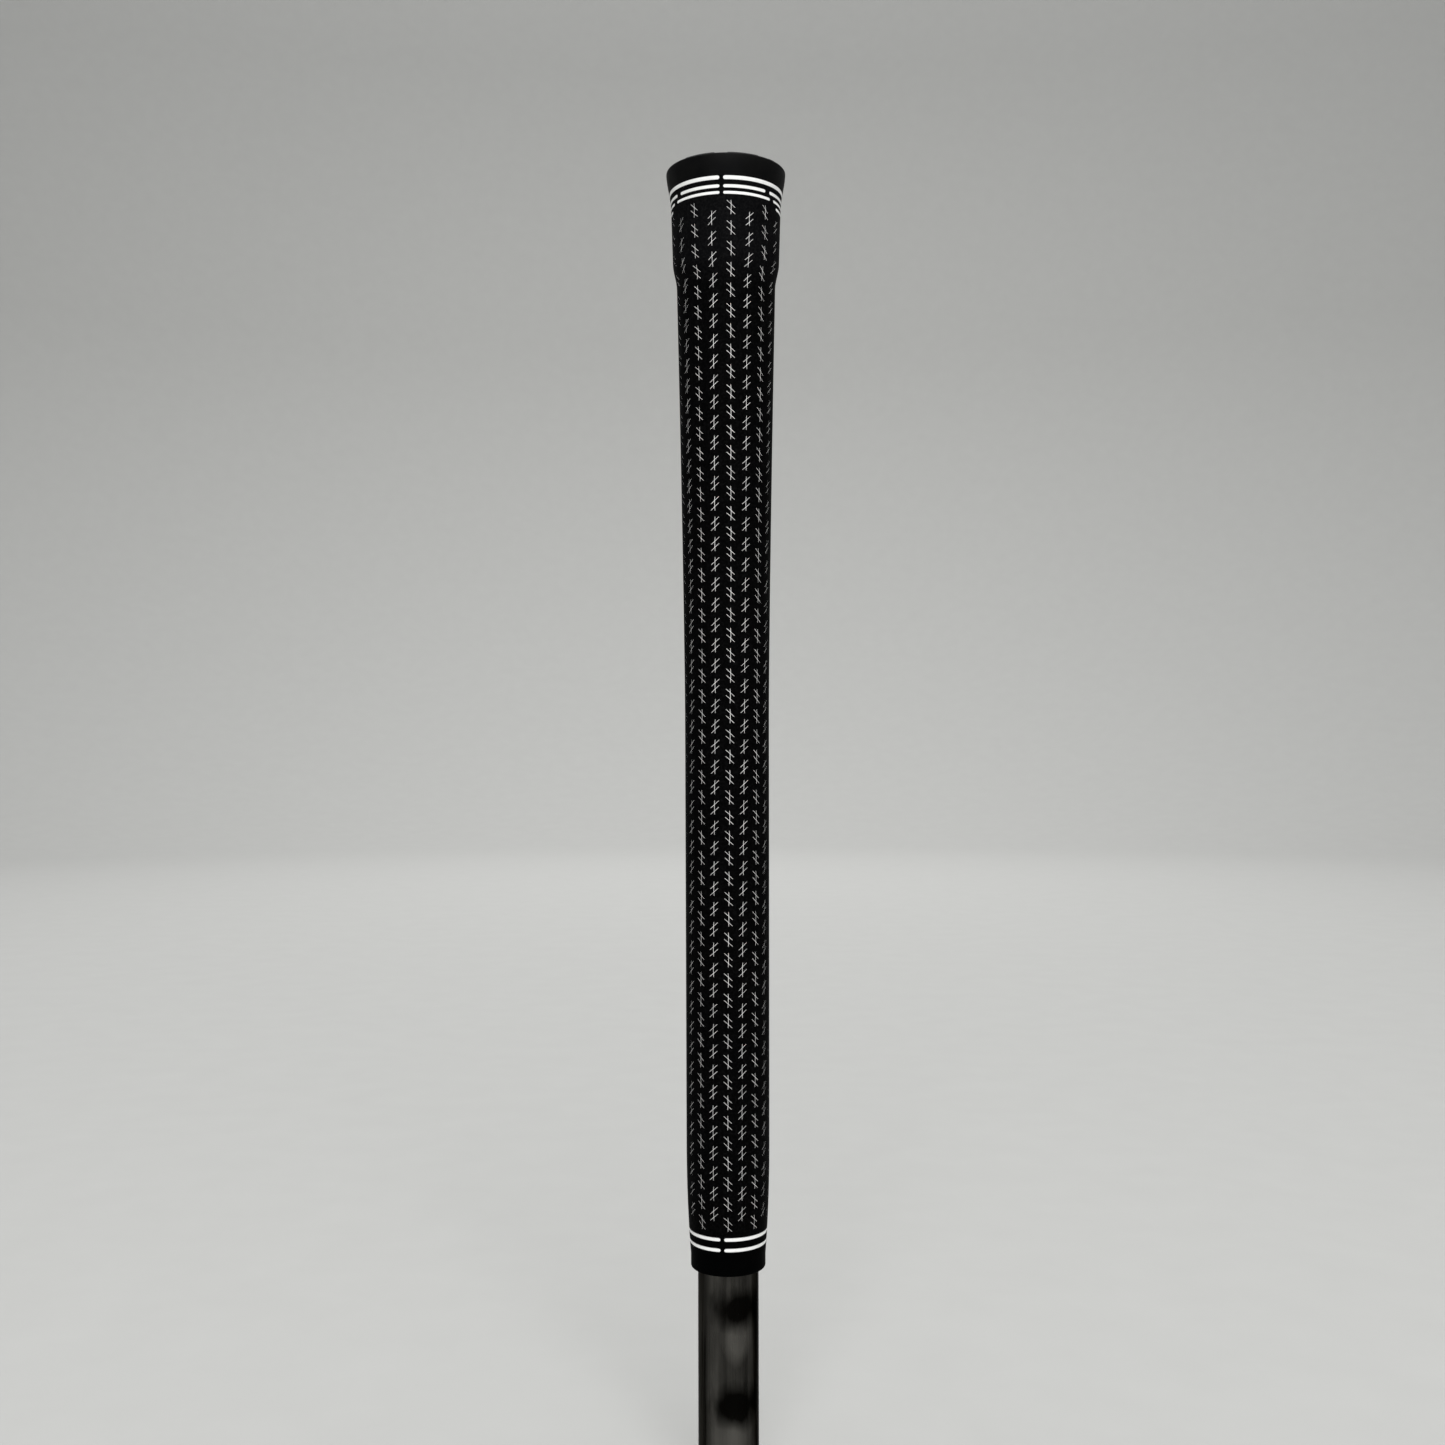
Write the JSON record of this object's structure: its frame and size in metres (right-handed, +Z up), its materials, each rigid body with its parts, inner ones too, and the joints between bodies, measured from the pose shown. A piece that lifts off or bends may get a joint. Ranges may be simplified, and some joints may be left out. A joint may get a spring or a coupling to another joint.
{
  "type": "golf grip",
  "caption": "Tapered rubber golf grip on a stub of round shaft, with a flared butt cap, white rings at both ends and rows of white stitch marks, for holding a club.",
  "frame": {"origin": "centre of the shaft stub's cut lower end", "axes": "+Z up the shaft to the grip's butt, -Y towards the side with the alignment breaks in the rings, +X to the right seen from that side"},
  "size_m": [0.0292, 0.0292, 0.325],
  "materials": {
    "grip_rubber": "matt moulded rubber with a fine grain",
    "cap_rubber": "smooth, slightly harder moulded rubber",
    "white_paint": "white filling paint in moulded grooves",
    "shaft_finish": "dark gunmetal gloss finish with fine lengthwise streaks",
    "tape": "creped double-sided paper tape"
  },
  "bodies": {
    "root": {"shaft": "shaft_finish", "grip_tape": "tape", "rubber_sleeve": "grip_rubber", "butt_cap": "cap_rubber", "butt_ring_1": "white_paint", "butt_ring_2": "white_paint", "butt_ring_3": "white_paint", "butt_ring_4": "white_paint", "mouth_ring_1": "white_paint", "mouth_ring_2": "white_paint"}
  },
  "joints": []
}
